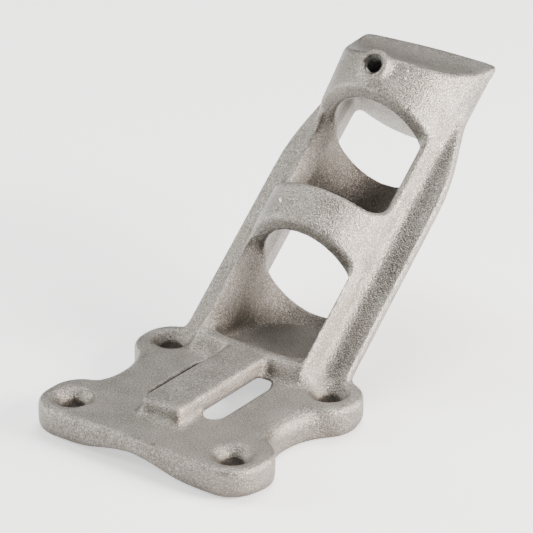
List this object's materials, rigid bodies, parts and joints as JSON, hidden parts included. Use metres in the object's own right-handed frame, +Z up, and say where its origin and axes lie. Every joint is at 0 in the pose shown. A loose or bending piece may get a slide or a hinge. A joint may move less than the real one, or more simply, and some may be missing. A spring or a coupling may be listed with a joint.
{
  "type": "mounting bracket",
  "caption": "Investment cast bracket: slotted foot plate with countersunk holes and a leaning, windowed half-round upright with a tapped boss.",
  "frame": {"origin": "centre of the four-hole pattern on the mounting face under the foot plate", "axes": "+X to the right, +Y to the back in the direction the upright leans, +Z up out of the foot plate"},
  "size_m": [0.0756, 0.1588, 0.0861],
  "materials": {
    "cast_metal": "as cast and fine shot-blasted, matt"
  },
  "bodies": {
    "root": {"bracket": "cast_metal"}
  },
  "joints": []
}
